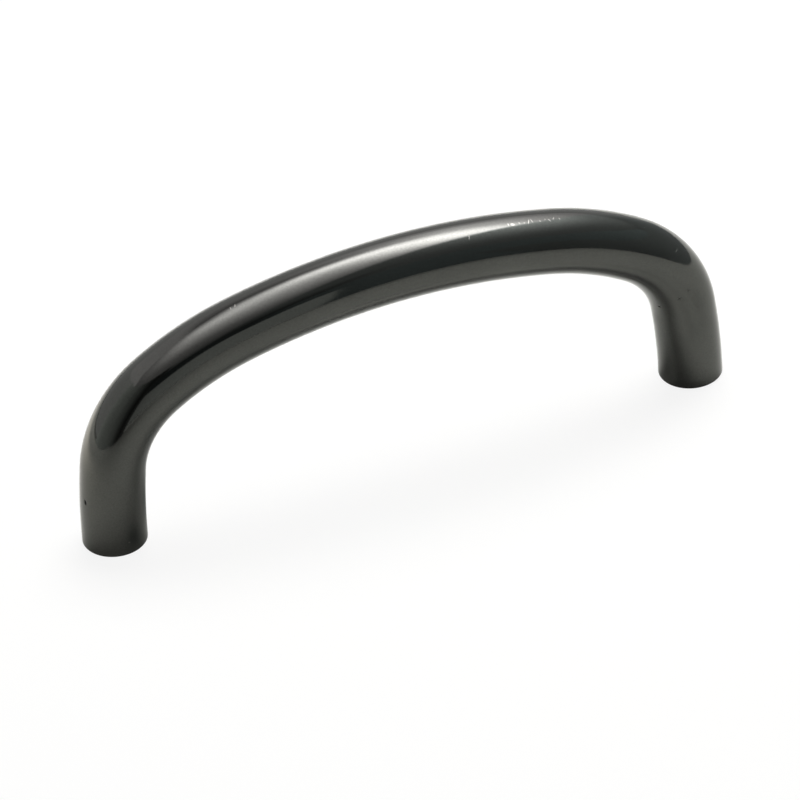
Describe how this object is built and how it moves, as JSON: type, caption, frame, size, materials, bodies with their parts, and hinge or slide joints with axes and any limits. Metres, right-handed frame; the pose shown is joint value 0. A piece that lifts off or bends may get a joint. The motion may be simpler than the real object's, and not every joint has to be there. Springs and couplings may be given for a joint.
{
  "type": "arch pull",
  "caption": "Cabinet arch pull bent from round bar: two leaning legs, rounded shoulders and a shallow bowed grip, with a tapped hole in each foot.",
  "frame": {"origin": "midway between the two feet, on the mounting face", "axes": "+X from the left foot to the right foot along the grip, +Y across the bar, +Z away from the mounting face"},
  "size_m": [0.0842, 0.008, 0.0317],
  "materials": {
    "black_nickel": "polished"
  },
  "bodies": {
    "root": {"pull_bar": "black_nickel"}
  },
  "joints": []
}
